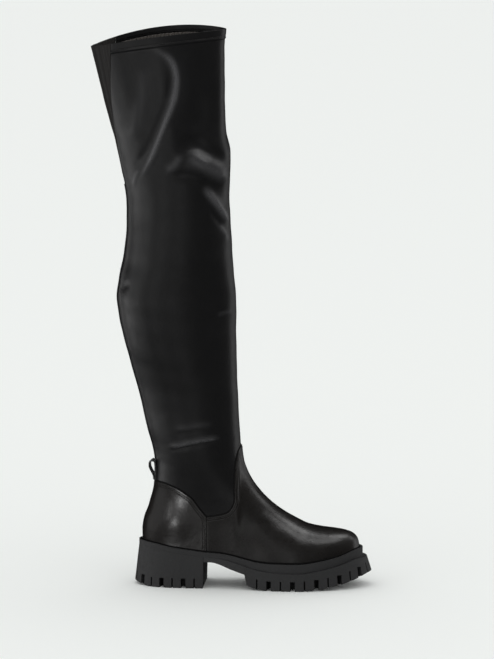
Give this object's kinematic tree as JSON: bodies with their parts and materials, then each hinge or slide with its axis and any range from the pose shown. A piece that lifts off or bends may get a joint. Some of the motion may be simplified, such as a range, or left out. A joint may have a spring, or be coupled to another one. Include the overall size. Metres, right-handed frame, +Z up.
{
  "type": "thigh high boot",
  "caption": "Thigh high pull-on boot with a slack stretch leather shaft, a back gore and pull loop, a block heel and a lugged platform sole.",
  "frame": {"origin": "on the floor under the middle of the boot's bounding box", "axes": "+X towards the toe, +Y towards the inner side of the foot, +Z up the shaft"},
  "size_m": [0.334, 0.106, 0.6676],
  "materials": {
    "stretch_leather": "satin black stretch synthetic leather",
    "foot_leather": "smooth black leather with a soft gloss",
    "gore_elastic": "matt ribbed elastic",
    "loop_webbing": "matt woven webbing",
    "lining": "dull dark brown knit lining",
    "sole_rubber": "matt dark grey black rubber"
  },
  "bodies": {
    "root": {"upper": "stretch_leather", "vamp": "foot_leather", "heel_counter": "foot_leather", "back_seam_strip": "stretch_leather", "back_gore": "gore_elastic", "pull_loop": "loop_webbing", "insole": "lining", "midsole": "sole_rubber", "outsole": "sole_rubber", "heel": "sole_rubber"}
  },
  "joints": []
}
